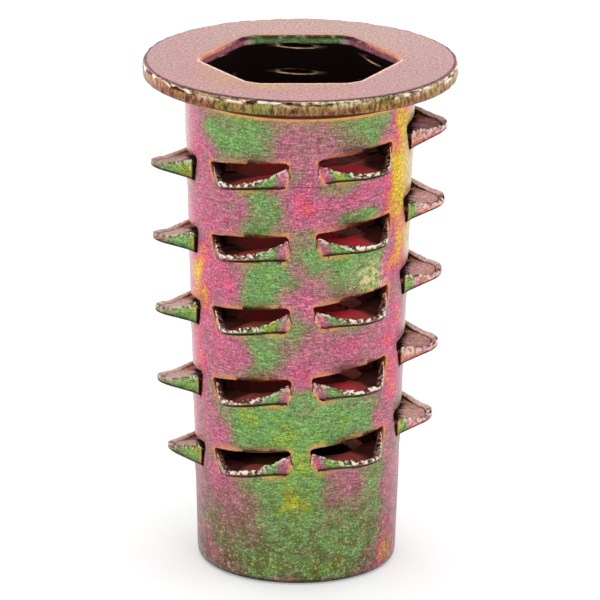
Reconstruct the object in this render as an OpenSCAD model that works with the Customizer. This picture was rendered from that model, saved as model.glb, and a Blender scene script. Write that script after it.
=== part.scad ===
// Threaded insert: a flanged steel sleeve with a hexagonal drive bore, turned into
// wood by a screw thread of hollow teeth that are pierced out of its wall.
// It stands on its lower end, with its axis on Z and its origin at the centre of
// the lower end face. Columns of teeth lie over the corners of the hexagon.

/* [Sleeve] */
// Length from the lower end face to the top of the flange
overall_h = 24; // [23:0.5:34]
// Diameter of the sleeve just under the flange
sleeve_top_d = 10.66; // [10.5:0.02:11.3]
// Diameter of the sleeve at its lower end
sleeve_end_d = 9.26; // [9.2:0.02:10.2]
// Rounding of the outer edge of the lower end
end_edge_r = 0.3; // [0.1:0.05:0.4]

/* [Flange] */
// Flange diameter
flange_d = 14.5; // [13:0.25:19]
// Flange thickness
flange_t = 0.75; // [0.6:0.05:1.5]
// Rounding of the two edges of the flange's rim
rim_edge_r = 0.15; // [0.05:0.05:0.25]
// Fillet between the sleeve and the flange
neck_fillet_r = 0.2; // [0.1:0.05:0.4]

/* [Bore] */
// Hexagonal drive bore, across its flats
hex_af = 8.05; // [7.6:0.05:8.1]
// Diameter that breaks the hexagon's corners
hex_corner_d = 8.9; // [8.85:0.05:9]
// Bevel round the mouth of the hexagon
mouth_bevel = 0.14; // [0.05:0.01:0.3]
// Height of the end wall below the hexagon, which holds the machine thread
thread_h = 3.3; // [2.6:0.1:3.4]
// Core diameter of the machine thread
thread_core_d = 6.65; // [5:0.05:7]
// Bevel at both ends of the threaded hole
thread_bevel = 0.3; // [0.1:0.05:0.5]

/* [Screw thread of teeth] */
// Columns of teeth round the sleeve, over corners of the hexagon
columns = 6; // [2,3,6]
// Plain wall left between the last window and the end wall
last_clear = 0.2; // [0.1:0.1:9]
// Rise of the screw thread in one turn
helix_pitch = 3.47; // [3:0.01:3.5]
// Drop from the flange's underside to the middle of the first tooth
first_drop = 2.4; // [1.5:0.05:2.6]
// How far a tooth stands out of the sleeve
tooth_reach = 1.65; // [1:0.05:1.9]
// How much shorter the last tooth is; the last turn fades to it
last_fade = 0.3; // [0:0.05:0.5]
// Width of a tooth at its foot
tooth_w = 3.6; // [3:0.05:3.9]
// How far the free sides of a tooth's foot stand off the sleeve
foot_lift = 0.15; // [0.05:0.01:0.3]
// Radius of a tooth's nose, seen along the sleeve
nose_r = 0.95; // [0.8:0.05:1.3]
// Thickness of a tooth's nose, measured along the sleeve
nose_t = 0.32; // [0.2:0.02:0.4]
// Drop of the middle of the nose below the middle of the window
nose_drop = 0.07; // [0:0.01:0.1]
// Sheet thickness of the scoop
scoop_t = 0.36; // [0.2:0.02:0.4]

/* [Windows behind the teeth] */
// Height of a window
window_h = 1.0; // [0.8:0.05:1.2]
// Gap on each side between a tooth and the top of its window
side_gap = 0.2; // [0.05:0.01:0.3]
// Gap between the rim of a tooth and the window's upper edge
rim_gap = 0.08; // [0.05:0.01:0.2]
// Distance from a tooth's foot over which its rim falls to the level of the nose
rim_fall = 0.75; // [0.3:0.05:0.9]
// Depth to which a tooth's foot is bonded into the window's lower edges
foot_bond = 0.06; // [0.03:0.01:0.1]

/* [Hidden] */
$fn = 72;
arc_step = 15;
slack = 0.5;

sleeve_top_r = sleeve_top_d / 2;
sleeve_end_r = sleeve_end_d / 2;
flange_r = flange_d / 2;
seat_z = overall_h - flange_t;
last_z = thread_h + last_clear + window_h / 2;
teeth = 1 + floor(columns * (seat_z - first_drop - last_z) / helix_pitch);
column_angle = 360 / columns;
foot_half = tooth_w / 2;
window_top_half = foot_half + side_gap;
window_low_half = foot_half - foot_bond;
core_r = thread_core_d / 2;

// Radius of the tapered sleeve at height z
function sleeve_r(z) = sleeve_end_r + (sleeve_top_r - sleeve_end_r) * z / seat_z;

// Height of the middle of tooth k, counted down the screw thread
function tooth_z(k) = seat_z - first_drop - k * helix_pitch / columns;

// Distance from the axis to the nose of tooth k
function nose_x(k) = sleeve_r(tooth_z(k)) + tooth_reach
    - last_fade * max(0, 1 - (teeth - 1 - k) / columns);

// Distance from the sleeve's axis to its surface at the side of tooth k's foot
function foot_x(k) = sqrt(pow(sleeve_r(tooth_z(k)), 2) - pow(foot_half, 2));

// Lead angle of the screw thread at height z
function lead(z) = atan(helix_pitch / (2 * PI * sleeve_r(z)));

// Points of an arc about the centre c
function arc(c, r, from, to) =
    [for (i = [0 : ceil(abs(to - from) / arc_step)])
        let (a = from + (to - from) * i / ceil(abs(to - from) / arc_step))
            [c[0] + r * cos(a), c[1] + r * sin(a)]];

// Upper half of a tooth's plan: where the straight flank from the foot meets the nose
function flank_end(x, half, r) =
    let (to_foot = atan2(half, -x), a = to_foot - acos(r / norm([x, half])))
        [r * cos(a), r * sin(a)];

// Half section of the sleeve and flange
module turned_outline() {
    polygon(concat(
        [[0, 0]],
        arc([sleeve_end_r - end_edge_r, end_edge_r], end_edge_r, -90, 0),
        arc([sleeve_top_r + neck_fillet_r, seat_z - neck_fillet_r], neck_fillet_r, 180, 90),
        arc([flange_r - rim_edge_r, seat_z + rim_edge_r], rim_edge_r, -90, 0),
        arc([flange_r - rim_edge_r, overall_h - rim_edge_r], rim_edge_r, 0, 90),
        [[0, overall_h]]
    ));
}

// Puts its children on the screw thread, facing +X at the sleeve's axis, at tooth k
module at_tooth(k) {
    translate([0, 0, tooth_z(k)])
        rotate([0, 0, -column_angle * k])
            rotate([lead(tooth_z(k)), 0, 0])
                children();
}

// Opening sheared through the wall: a trapezium, wider along its upper edge
module window(k) {
    inner_x = hex_af / 2 - slack;
    outer_x = sleeve_r(tooth_z(k)) + slack;
    translate([inner_x, 0, 0])
        rotate([90, 0, 90])
            linear_extrude(outer_x - inner_x)
                polygon([
                    [-window_low_half, -window_h / 2],
                    [window_low_half, -window_h / 2],
                    [window_top_half, window_h / 2],
                    [-window_top_half, window_h / 2]
                ]);
}

// Plan of a tooth, set in by the distance inset: two flanks and a round nose
module tooth_plan(k, inset) {
    half = foot_half - inset;
    r = nose_r - inset;
    nose_c = nose_x(k) - nose_r;
    bend = flank_end(nose_c - foot_x(k), half, r);
    root = foot_x(k) - window_h;
    polygon([
        [root, -half],
        [foot_x(k), -half],
        [nose_c + bend[0], -bend[1]],
        [nose_c + bend[0], bend[1]],
        [foot_x(k), half],
        [root, half]
    ]);
    translate([nose_c, 0]) circle(r);
}

// Side profile of a tooth: a wedge that narrows to its nose, with its foot
// standing off the sleeve above the sheet that joins it to the wall
module tooth_profile(k) {
    root = foot_x(k) - slack;
    polygon([
        [root, -window_h / 2 - 2 * foot_bond],
        [foot_x(k) - foot_bond, -window_h / 2 - 2 * foot_bond],
        [sleeve_r(tooth_z(k)), -window_h / 2],
        [nose_x(k), -nose_drop - nose_t / 2],
        [nose_x(k), -nose_drop + nose_t / 2],
        [foot_x(k) + foot_lift + rim_fall, -nose_drop + nose_t / 2],
        [foot_x(k) + foot_lift, window_h / 2 - rim_gap],
        [foot_x(k), -window_h / 2 + scoop_t],
        [root, -window_h / 2 + scoop_t]
    ]);
}

// Side profile of the hollow in a tooth, open upwards and towards the bore
module hollow_profile(k) {
    root = foot_x(k) - window_h - slack;
    polygon([
        [root, -window_h / 2 + scoop_t],
        [foot_x(k), -window_h / 2 + scoop_t],
        [nose_x(k), -nose_drop + nose_t / 2 - foot_bond],
        [nose_x(k), window_h],
        [root, window_h]
    ]);
}

// A plan and a side profile crossed to a solid
module crossed() {
    intersection() {
        linear_extrude(4 * window_h, center = true) children(0);
        rotate([90, 0, 0]) linear_extrude(2 * tooth_w, center = true) children(1);
    }
}

// Hollow tooth: a scoop with a round nose, open along its top
module tooth(k) {
    difference() {
        crossed() {
            tooth_plan(k, 0);
            tooth_profile(k);
        }
        crossed() {
            tooth_plan(k, scoop_t);
            hollow_profile(k);
        }
    }
}

// Hexagon with its corners broken by a circle
module drive_hexagon(af, corner_d, h) {
    intersection() {
        cylinder(h = h, d = af / cos(30), $fn = 6);
        cylinder(h = h, d = corner_d);
    }
}

// Drive bore, the bevel round its mouth and the threaded hole through the end wall
module bore() {
    translate([0, 0, thread_h])
        drive_hexagon(hex_af, hex_corner_d, overall_h - thread_h + slack);
    translate([0, 0, overall_h - mouth_bevel])
        intersection() {
            cylinder(
                h = 2 * mouth_bevel,
                d1 = hex_af / cos(30),
                d2 = (hex_af + 4 * mouth_bevel) / cos(30),
                $fn = 6
            );
            cylinder(
                h = 2 * mouth_bevel,
                d1 = hex_corner_d,
                d2 = hex_corner_d + 4 * mouth_bevel
            );
        }
    translate([0, 0, -slack]) cylinder(h = thread_h + 2 * slack, r = core_r);
    translate([0, 0, -thread_bevel])
        cylinder(h = 2 * thread_bevel, r1 = core_r + 2 * thread_bevel, r2 = core_r);
    translate([0, 0, thread_h - thread_bevel])
        cylinder(h = 2 * thread_bevel, r1 = core_r, r2 = core_r + 2 * thread_bevel);
}

module insert_sleeve() {
    color([0.70, 0.60, 0.44])
        difference() {
            union() {
                difference() {
                    rotate_extrude() turned_outline();
                    for (k = [0 : teeth - 1]) at_tooth(k) window(k);
                }
                for (k = [0 : teeth - 1]) at_tooth(k) tooth(k);
            }
            bore();
        }
}

insert_sleeve();
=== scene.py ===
"""Threaded insert: plated steel sleeve with a flange, a hexagonal bore and pierced teeth."""

import math
from functools import partialmethod

import bpy
import numpy as np
from mathutils import Matrix, Vector


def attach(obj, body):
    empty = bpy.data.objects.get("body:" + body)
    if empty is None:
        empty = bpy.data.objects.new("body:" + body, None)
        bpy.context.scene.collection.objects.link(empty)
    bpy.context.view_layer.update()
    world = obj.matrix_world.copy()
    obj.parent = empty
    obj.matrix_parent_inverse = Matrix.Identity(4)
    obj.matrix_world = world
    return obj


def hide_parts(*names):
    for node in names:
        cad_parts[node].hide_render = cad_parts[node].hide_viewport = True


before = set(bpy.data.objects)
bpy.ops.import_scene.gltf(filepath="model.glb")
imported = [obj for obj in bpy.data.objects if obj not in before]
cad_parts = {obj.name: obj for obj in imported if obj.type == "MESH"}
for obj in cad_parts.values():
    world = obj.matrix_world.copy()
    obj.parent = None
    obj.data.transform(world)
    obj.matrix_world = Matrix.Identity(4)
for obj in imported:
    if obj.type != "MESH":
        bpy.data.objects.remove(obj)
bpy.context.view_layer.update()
scene = bpy.context.scene

MM = 0.001
SEED = 41

# ---- sizes, in millimetres
OVERALL_H = 24.0
SLEEVE_TOP_R = 5.33
SLEEVE_END_R = 4.63
END_EDGE_R = 0.3
FLANGE_R = 7.25
FLANGE_T = 0.75
RIM_EDGE_R = 0.16
NECK_R = 0.2
SEAT_Z = OVERALL_H - FLANGE_T

HEX_FLAT_R = 4.025
HEX_CORNER_R = 4.45
MOUTH_BEVEL = 0.15
END_WALL = 3.3
THREAD_CORE_R = 3.325
THREAD_MAJOR_R = 4.16
THREAD_PITCH = 1.25
THREAD_START = 0.06
TAPPED_FROM = 20.5

COLUMNS = 6
TEETH = 30
HELIX_PITCH = 3.47
FIRST_DROP = 2.4
FOOT_HALF = 1.8
FOOT_LIFT = 0.15
NOSE_R = 0.95
NOSE_T = 0.32
NOSE_DROP = 0.07
RIM_FALL = 0.75
SIDE_RIM_FALL = 1.2
WINDOW_H = 1.0
WINDOW_TOP_HALF = 2.0
WINDOW_LOW_HALF = 1.74
RIM_GAP = 0.08
REACH = 1.65
TOOTH_BACK_X = 3.9

# Columns of teeth, clockwise as seen from above. The last two are at the back.
RIGHT, FRONT_RIGHT, FRONT_LEFT, LEFT = range(4)
SIDES = (RIGHT, LEFT)
# Teeth at the sides, from the flange down: how far out each reaches, and how high its nose is.
SIDE_REACH = {RIGHT: (1.52, 1.57, 1.6, 1.57, 1.46), LEFT: (1.64, 1.65, 1.65, 1.65, 1.25)}
SIDE_NOSE = {RIGHT: (0.02, -0.09, -0.06, -0.11, -0.14), LEFT: (-0.04, -0.09, -0.12, -0.08, 0.03)}
# How far the top of a tooth flares past its foot, at the left and right, by column.
FLARES = ((0.05, 0.05), (0.18, 0.02), (0.02, 0.18), (0.05, 0.05), (0.08, 0.08), (0.08, 0.08))
# Height of the hollow's floor above the window's bottom, by column.
FLOOR_RISE = (0.48, 0.36, 0.36, 0.62, 0.36, 0.36)
NICKED_TOOTH = 20
# Which end of a window carries painted shade, and how far its top corner lies past its plain place
# there.
DARK_ENDS = (-1, 0, 0, 1, 0, 0)
TALL_END = {RIGHT: (-0.04, 0.26), LEFT: (0.03, 0.06)}
# Which end of a window at the front is nearest the middle.
MIDDLE_ENDS = (0, -1, 1, 0, 0, 0)
# How strong the painted red glow of the hollows at the front is, from the flange down.
FRONT_GLOW = {FRONT_RIGHT: (0.9, 1.0, 0.85, 0.8, 0.5), FRONT_LEFT: (1.0, 0.7, 0.65, 0.6, 0.5)}
# Film, paleness (painted light) and painted shade of the other hollows: each row at the right, the
# left, the rest.
RIGHT_FLOORS = (
    (0.24, 0.3, 0.3), (0.24, 0.65, 0.0), (0.21, 0.55, 0.05), (0.21, 0.55, 0.3), (0.19, 0.6, 0.1),
)
LEFT_FLOOR = (0.3, 0.75, 0.0)
DARK_FLOOR = (0.2, 0.0, 0.0)
# Rows at the right whose flanks are green at the root.
GREEN_ROOTS = (1, 2, 4)

# Points round the body and a tooth, and radii for the random relief.
BODY_POINTS = 240
TOOTH_POINTS = 72
BACK_POINTS = 60
SLEEVE_ARC_R = 5
RIM_ARC_R = 7

# ---- camera
IMAGE_SIZE = 600
VIEW_DISTANCE = 260.0
VIEW_ELEVATION = math.radians(17.86)
VIEW_TURN = math.radians(-2.3)
VIEW_ROLL = math.radians(0.478)
VIEW_AIM = (0.076, 12.38)
FOCAL_PX = 5598
SENSOR_MM = 36.0


def make_camera():
    right = Vector((math.cos(VIEW_TURN), math.sin(VIEW_TURN), 0))
    ahead = Vector((-right.y, right.x, 0))
    up_axis = Vector((0, 0, 1))
    forward = ahead * math.cos(VIEW_ELEVATION) - up_axis * math.sin(VIEW_ELEVATION)
    up = right.cross(forward)
    aim = right * VIEW_AIM[0] + up_axis * VIEW_AIM[1]
    data = bpy.data.cameras.new("camera")
    data.sensor_width = SENSOR_MM
    data.lens = FOCAL_PX / IMAGE_SIZE * SENSOR_MM
    data.clip_start, data.clip_end = 10 * MM, 20
    camera = bpy.data.objects.new("camera", data)
    scene.collection.objects.link(camera)
    x_axis = right * math.cos(VIEW_ROLL) + up * math.sin(VIEW_ROLL)
    y_axis = up * math.cos(VIEW_ROLL) - right * math.sin(VIEW_ROLL)
    turn = Matrix((x_axis, y_axis, -forward)).transposed().to_4x4()
    place = Matrix.Translation((aim - forward * VIEW_DISTANCE) * MM)
    camera.matrix_world = place @ turn
    scene.camera = camera


# ---- small mathematics
def smooth(x, low, high):
    """Goes smoothly from 0 at low to 1 at high."""
    t = np.clip((x - low) / (high - low), 0, 1)
    return t * t * (3 - 2 * t)


def wobble(rng, count, knots, size):
    """Smooth random closed curve: count values that vary round zero."""
    values = rng.uniform(-1, 1, knots)
    t = np.arange(count) / count
    i = np.minimum((t * knots).astype(int), knots - 1)
    f = smooth(t * knots - i, 0, 1)
    ring = np.append(values, values[0])
    return size * (ring[i] * (1 - f) + ring[i + 1] * f)


def relief(x, y, rng, waves, longest, shortest):
    """Smooth random field over a plane, between about -1 and 1."""
    total = np.zeros(np.broadcast(x, y).shape)
    for _ in range(waves):
        length = math.exp(rng.uniform(math.log(shortest), math.log(longest)))
        way = rng.uniform(0, 2 * math.pi)
        phase = rng.uniform(0, 2 * math.pi)
        total += np.sin(2 * math.pi / length * (x * math.cos(way) + y * math.sin(way)) + phase)
    return total / math.sqrt(waves)


def sleeve_r(z):
    return SLEEVE_END_R + (SLEEVE_TOP_R - SLEEVE_END_R) * z / SEAT_Z


def tooth_z(k):
    return SEAT_Z - FIRST_DROP - k * HELIX_PITCH / COLUMNS


def lead(k):
    """Slope of the helix at tooth k."""
    return math.atan(HELIX_PITCH / (2 * math.pi * sleeve_r(tooth_z(k))))


def middle(k):
    """Angle of the middle of tooth k."""
    return math.radians(-360 / COLUMNS * k)


def spin(x, y, angle):
    """Turns points round the origin of a plane."""
    return x * math.cos(angle) - y * math.sin(angle), x * math.sin(angle) + y * math.cos(angle)


def place_tooth(points, k):
    """Moves points from the frame of tooth k to the part's frame."""
    x, across, rise = np.moveaxis(points, -1, 0)
    across, rise = spin(across, rise, lead(k))
    return np.stack([*spin(x, across, middle(k)), rise + tooth_z(k)], axis=-1)


def on_wall(angle, z, k):
    """Place on the sleeve in the flat frame of window k: across and up."""
    turn = (angle - middle(k) + math.pi) % (2 * math.pi) - math.pi
    return spin(turn * sleeve_r(tooth_z(k)), z - tooth_z(k), -lead(k))


# ---- meshes
# Marks of a point: film of the plating, bent edge with a painted highlight, torn raw metal, painted
# shade within and its painted red glow, painted shade in creases, pale (in places painted light),
# cream where pale, matt, and sheared rim.
MARKS = ("film", "edge", "raw", "inside", "wine", "grime", "pale", "cream", "matt", "rim")


def ring_faces(rings, count):
    """Faces of a closed surface: rings of points between two poles."""
    sides = [(i, (i + 1) % count) for i in range(count)]
    last = 1 + (rings - 1) * count
    faces = [(0, 1 + b, 1 + a) for a, b in sides]
    for low in range(1, last, count):
        high = low + count
        faces += [(low + a, low + b, high + b, high + a) for a, b in sides]
    return faces + [(last + a, last + b, last + count) for a, b in sides]


def ring_object(name, rings, start, end, marks):
    """Closed mesh from rings of points, with values for their marks."""
    rings = np.asarray(rings, float)
    count = rings.shape[1]
    points = np.concatenate([[start], rings.reshape(-1, 3), [end]]) * MM
    mesh = bpy.data.meshes.new(name)
    mesh.from_pydata(points.tolist(), [], ring_faces(len(rings), count))
    # The mark "made" is 1 here, and 0 at points that a cut makes later.
    for key in MARKS + ("made",):
        value = 1.0 if key == "made" else marks.get(key, 0.0)
        grid = np.broadcast_to(np.asarray(value, float), rings.shape[:2]).reshape(-1)
        full = np.concatenate([[grid[0]], grid, [grid[-1]]])
        mesh.attributes.new(key, "FLOAT", "POINT").data.foreach_set("value", full)
    obj = bpy.data.objects.new(name, mesh)
    scene.collection.objects.link(obj)
    return obj


class Stack:
    """Rings of points, each with values for its marks."""

    def __init__(self, count, rng=None):
        self.count, self.rng = count, rng
        self.rings = []
        self.marks = {key: [] for key in MARKS}

    def add(self, x, y, z, **values):
        self.rings.append(np.stack([x, y, np.broadcast_to(z, self.count)], axis=1))
        for key, store in self.marks.items():
            store.append(np.broadcast_to(values.get(key, 0.0), self.count))

    def wobble(self, knots, size):
        return wobble(self.rng, self.count, knots, size)

    def build(self, name, start, end, k=None):
        """The mesh, moved from the frame of tooth k if one is given."""
        points = np.array([start, end], float), np.array(self.rings)
        (start, end), rings = points if k is None else (place_tooth(p, k) for p in points)
        return ring_object(name, rings, start, end, self.marks)


def join(objects, name):
    """One object from several separate meshes."""
    bpy.ops.object.select_all(action="DESELECT")
    for obj in objects:
        obj.select_set(True)
    bpy.context.view_layer.objects.active = objects[0]
    bpy.ops.object.join()
    objects[0].name = name
    return objects[0]


def combine(obj, tool, operation):
    """Adds or cuts a mesh, and removes the tool."""
    step = obj.modifiers.new("step", "BOOLEAN")
    step.solver, step.operation, step.object = "MANIFOLD", operation, tool
    bpy.context.view_layer.objects.active = obj
    bpy.ops.object.modifier_apply(modifier=step.name)
    bpy.data.objects.remove(tool, do_unlink=True)


def arc(centre, radius, start, end, steps):
    angles = np.radians(np.linspace(start, end, steps))
    return [(centre[0] + radius * math.cos(a), centre[1] + radius * math.sin(a)) for a in angles]


# ---- plating colours
# The film runs from 0 (yellow) by pink, mauve, olive and green to 1 (yellow again). Each
# spot: angle from the front, height, half width in degrees, half height, film, strength.
FRONT = math.radians(-92.3)
PINK, HOT, MAUVE, OLIVE = 0.3, 0.22, 0.42, 0.55
GREEN, LIME, GOLD, ORANGE = 0.72, 0.86, 0.98, 0.1
SPOTS = (
    # above the first windows
    (-30, 21.6, 16, 0.85, GREEN, 1.6), (0, 22.6, 52, 0.35, GREEN, 1.2),
    (-52, 21.5, 5, 1.3, OLIVE, 0.8), (-60, 20, 7, 3.2, PINK, 1.6),
    (-7, 21.2, 8, 0.8, PINK, 1.3), (14, 21.4, 14, 0.9, MAUVE, 1),
    (38, 21.9, 12, 0.6, GREEN, 0.8), (54, 21, 6, 1.2, PINK, 1.2),
    (-2, 19.9, 9, 0.7, MAUVE, 1.2),
    # below the first windows
    (-44, 18.2, 13, 0.9, PINK, 1.6), (-40, 18.3, 6, 0.5, HOT, 1),
    (-21, 18, 10, 1.1, GREEN, 1.7), (-5, 17.7, 4, 1.4, OLIVE, 1.2),
    (9, 18.3, 13, 0.85, HOT, 2.6), (36, 18.9, 18, 0.6, PINK, 1.6),
    (28, 19.4, 15, 0.2, GREEN, 1.4), (28, 17.8, 18, 0.35, GREEN, 1.8),
    (52, 17.6, 5, 1.5, PINK, 1),
    # below the second windows
    (6, 16.6, 4, 0.9, GREEN, 0.9), (25, 15.8, 20, 0.55, GREEN, 1.8),
    (20, 15.8, 6, 0.4, LIME, 1), (-19, 14.8, 12, 1, GREEN, 1.8),
    (-46, 14.7, 12, 1, PINK, 1.6), (-48, 14.4, 7, 0.5, HOT, 1),
    (1, 15.3, 5, 0.5, PINK, 1), (3, 13.8, 7, 0.8, PINK, 1.2),
    (38, 14.8, 9, 0.5, LIME, 1), (54, 14.5, 6, 1.6, PINK, 1.3),
    # below the third windows
    (-16, 11.4, 11, 0.9, GREEN, 1.8), (-50, 11.5, 12, 0.9, PINK, 1.4),
    (-35, 11, 8, 0.6, HOT, 1.2), (0, 12.4, 6, 0.7, OLIVE, 1),
    (0, 10.4, 10, 0.5, PINK, 1.3), (36, 11.4, 30, 0.65, PINK, 1.6),
    (24, 12.4, 12, 0.3, OLIVE, 0.8),
    # below the fourth windows
    (0, 8, 44, 0.8, GREEN, 1.9), (-27, 8, 8, 0.5, LIME, 1.2),
    (0, 7.4, 14, 0.8, LIME, 1.8), (22, 7.9, 8, 0.4, LIME, 0.8),
    (-52, 7.6, 9, 0.9, PINK, 1.7), (54, 8, 6, 1.2, PINK, 1.4),
    (2, 5.9, 8, 1.6, GREEN, 1.6), (0, 5.2, 8, 1.9, LIME, 3.4),
    (-3, 4.3, 5, 0.9, GOLD, 0.5), (-14, 4.6, 5, 0.7, GREEN, 1.4),
    # plain lower end
    (-50, 4.5, 11, 0.8, PINK, 1.4), (-20, 4.4, 8, 0.7, GREEN, 1),
    (-34, 3.2, 12, 1.2, MAUVE, 0.8), (28, 4.9, 13, 0.6, MAUVE, 1),
    (48, 4.3, 8, 0.8, GREEN, 0.8), (64, 4.4, 7, 1.4, PINK, 1.2),
    (-56, 2.3, 14, 1.3, OLIVE, 1), (28, 1.9, 18, 0.8, GREEN, 1.7),
    (-6, 2.2, 16, 0.8, GREEN, 1), (-20, 1, 9, 0.5, LIME, 1.2),
    (18, 0.8, 24, 0.35, LIME, 1), (42, 1, 4, 0.3, HOT, 1.3),
    (66, 1, 9, 1, ORANGE, 1.4),
    # left flank
    (-78, 20.5, 9, 2, PINK, 1.6), (-78, 16, 9, 2, HOT, 1.2),
    (-78, 11, 9, 2.5, PINK, 1.6), (-78, 5, 9, 2.5, PINK, 1.2),
    # golden and orange zones beside the pink
    (64, 21.2, 6, 1.6, -0.05, 4), (60, 19, 8, 1.2, -0.08, 5),
    (64, 16.2, 6, 1.2, 0.06, 2.6), (80, 20, 7, 1.8, 0.04, 2),
    (78, 16.5, 6, 1.2, 0.02, 3), (62, 11.8, 6, 0.8, 0.12, 1.6),
    (64, 9, 6, 1, 0.08, 1.2), (-64, 14.3, 7, 1.1, 0.03, 2.6),
    (-66, 9.5, 5, 1.6, 0.16, 1), (-60, 1.2, 6, 0.6, 0.14, 0.8),
)
# Painted reflections at the sides of the sleeve: pale places, given in the same way but without a
# film.
LIMB_REFLECTIONS = (
    (81, 20.4, 13, 2.6, 1.2), (80, 15.5, 9, 2.2, 1),
    (82, 11, 9, 2.5, 0.9), (-82, 20.5, 10, 2.5, 0.9),
    (-80, 15, 9, 2.5, 0.7), (-82, 9, 9, 3, 0.7),
)
# Film that shows between the spots, and its weight. The back has random spots.
BASE_FILM, BASE_WEIGHT = 0.46, 0.12
BACK_SPOTS = 60


def wrap(degrees):
    """The same angle, between -180 and 180."""
    return (degrees + 180) % 360 - 180


def from_front(angle):
    """Degrees from the front of the sleeve to an angle in radians."""
    return wrap(np.degrees(angle - FRONT))


def film_at(points):
    """Film of the plating at points of the sleeve."""
    angle = from_front(np.arctan2(points[..., 1], points[..., 0]))
    height = points[..., 2]
    rng = np.random.default_rng(SEED)
    arc_mm = np.radians(angle) * SLEEVE_ARC_R
    angle += 3 * relief(arc_mm, height, rng, 9, 3, 0.8)
    height = height + 0.22 * relief(arc_mm, height, rng, 9, 3, 0.8)
    spots = list(SPOTS)
    for _ in range(BACK_SPOTS):
        place = rng.uniform(78, 282), rng.uniform(0.5, 22.8)
        size = rng.uniform(6, 18), rng.uniform(0.5, 1.3)
        film = rng.choice([PINK, GREEN, MAUVE, LIME, HOT, OLIVE, 0.06])
        spots.append((*place, *size, film, rng.uniform(0.8, 1.8)))
    total = np.full(angle.shape, BASE_WEIGHT * BASE_FILM)
    weight = np.full(angle.shape, BASE_WEIGHT)
    for middle, level, half_w, half_h, film, strength in spots:
        across, up = wrap(angle - middle) / half_w, (height - level) / half_h
        w = strength * np.exp(-(across**2 + up**2))
        total += w * film
        weight += w
    return total / weight


def limb_reflection_at(points):
    """Painted reflections: pale places at the sides of the sleeve."""
    angle = from_front(np.arctan2(points[..., 1], points[..., 0]))
    total = np.zeros(angle.shape)
    for middle, level, half_w, half_h, strength in LIMB_REFLECTIONS:
        across, up = (angle - middle) / half_w, (points[..., 2] - level) / half_h
        total += strength * np.exp(-((across**2 + up**2) ** 1.5))
    return np.clip(total, 0, 1)


# ---- sleeve and flange
def wall_dents(angle, z):
    """Relief of the wall round the windows, the orange edges with a painted highlight, and painted
    shade at the windows' dark ends.
    """
    dent, near, shaded = np.zeros((3, *np.broadcast(angle, z).shape))
    for k in range(TEETH):
        across, up = on_wall(angle, z, k)
        beside = 1 - smooth(np.abs(across), 1.5, 2.5)
        above = np.exp(-(((up - 0.5) / 0.28) ** 2))
        below = np.exp(-(((up + 0.85) / 0.3) ** 2))
        dent += beside * (0.03 * below - 0.035 * above)
        half = WINDOW_LOW_HALF + (WINDOW_TOP_HALF - WINDOW_LOW_HALF) * np.clip(up + 0.5, 0, 1)
        beyond, over = np.abs(across) - half, np.abs(up) - WINDOW_H / 2
        gap = np.hypot(np.maximum(beyond, 0), np.maximum(over, 0))
        near = np.maximum(near, 1 - smooth(gap, 0.04, 0.3))
        facing = DARK_ENDS[k % COLUMNS] * across > half - 0.05
        shaded = np.maximum(shaded, facing * (1 - smooth(gap, 0.06, 0.2)))
    return dent, near * (1 - shaded), shaded


def body_profile():
    """Radius and height along the outside, from the bottom to the top."""
    near_neck = (22.4, 22.46, 22.5, 22.54, 22.58, 22.61, 22.64, 22.67, 22.72, 22.9)
    side = np.append(np.arange(END_EDGE_R + 0.25, 22.35, 0.25), near_neck)
    rim_levels = (0.28, 0.36, 0.44, 0.52, 0.6, 0.68, 0.74)
    rim_r = FLANGE_R - RIM_EDGE_R
    profile = [(3, 0), (3.8, 0)]
    profile += arc((SLEEVE_END_R - END_EDGE_R, END_EDGE_R), END_EDGE_R, -90, 0, 6)
    profile += [(sleeve_r(z), z) for z in side]
    profile += arc((SLEEVE_TOP_R + NECK_R, SEAT_Z - NECK_R), NECK_R, 180, 90, 6)
    profile += [(r, SEAT_Z) for r in (5.9, 6.4, 6.9)]
    profile += arc((rim_r, SEAT_Z + RIM_EDGE_R), RIM_EDGE_R, -90, 0, 5)
    profile += [(FLANGE_R, SEAT_Z + level * FLANGE_T) for level in rim_levels]
    profile += arc((rim_r, OVERALL_H - RIM_EDGE_R), RIM_EDGE_R, 0, 90, 6)
    profile += [(r, OVERALL_H) for r in (7, 6.9, 6.4, 5.8, 5.3, 4.9, 4.5, 4.1, 3.6)]
    return np.array(profile)


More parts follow.
